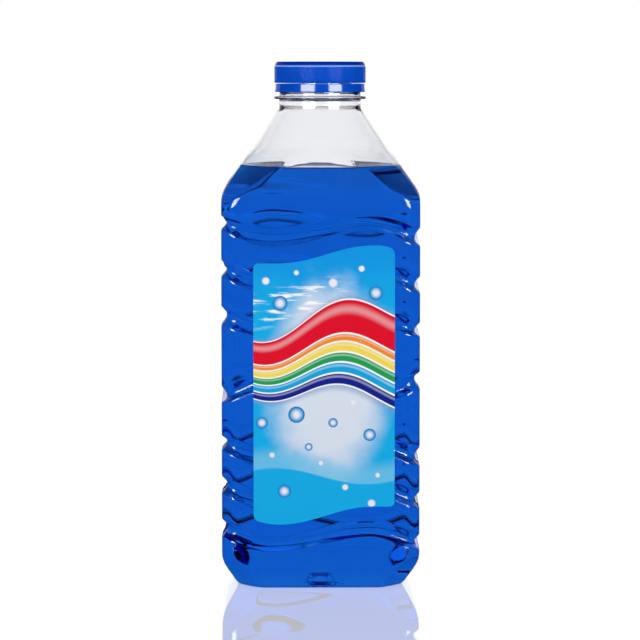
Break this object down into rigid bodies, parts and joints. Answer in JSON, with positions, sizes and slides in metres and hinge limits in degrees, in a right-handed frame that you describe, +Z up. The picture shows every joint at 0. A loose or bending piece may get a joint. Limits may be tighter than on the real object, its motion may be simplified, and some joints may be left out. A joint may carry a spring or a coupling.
{
  "type": "laundry detergent bottle",
  "caption": "Clear square bottle with wavy grooves, a turned neck, a ribbed screw cap and a wave-edged front label, full of blue liquid detergent.",
  "frame": {"origin": "centre of the standing surface under the base", "axes": "+Z up along the neck, -Y towards the front with the label, +X to the right seen from the front"},
  "size_m": [0.098, 0.0982, 0.261],
  "materials": {
    "clear_plastic": "clear blown polyester",
    "cap_plastic": "moulded blue polypropylene",
    "liner_foam": "soft white sealing disc",
    "label_film": "printed plastic film",
    "liquid": "blue liquid"
  },
  "bodies": {
    "bottle": {"bottle": "clear_plastic", "tamper_band": "cap_plastic", "front_label": "label_film", "detergent": "liquid"},
    "seal": {"cap_liner": "liner_foam"},
    "cap": {"cap": "cap_plastic"}
  },
  "joints": [
    {"name": "cap_rise", "type": "slide", "parent": "bottle", "child": "seal", "axis": [0, 0, 1], "range_m": [0, 0.0084]},
    {"name": "cap_turn", "type": "hinge", "parent": "seal", "child": "cap", "pos_m": [0, 0, 0.2505], "axis": [0, 0, 1], "range_deg": [0, 720]}
  ],
  "couplings": [
    {"joint": "cap_rise", "follows": "cap_turn", "m_per_rad": 0.00066845}
  ]
}
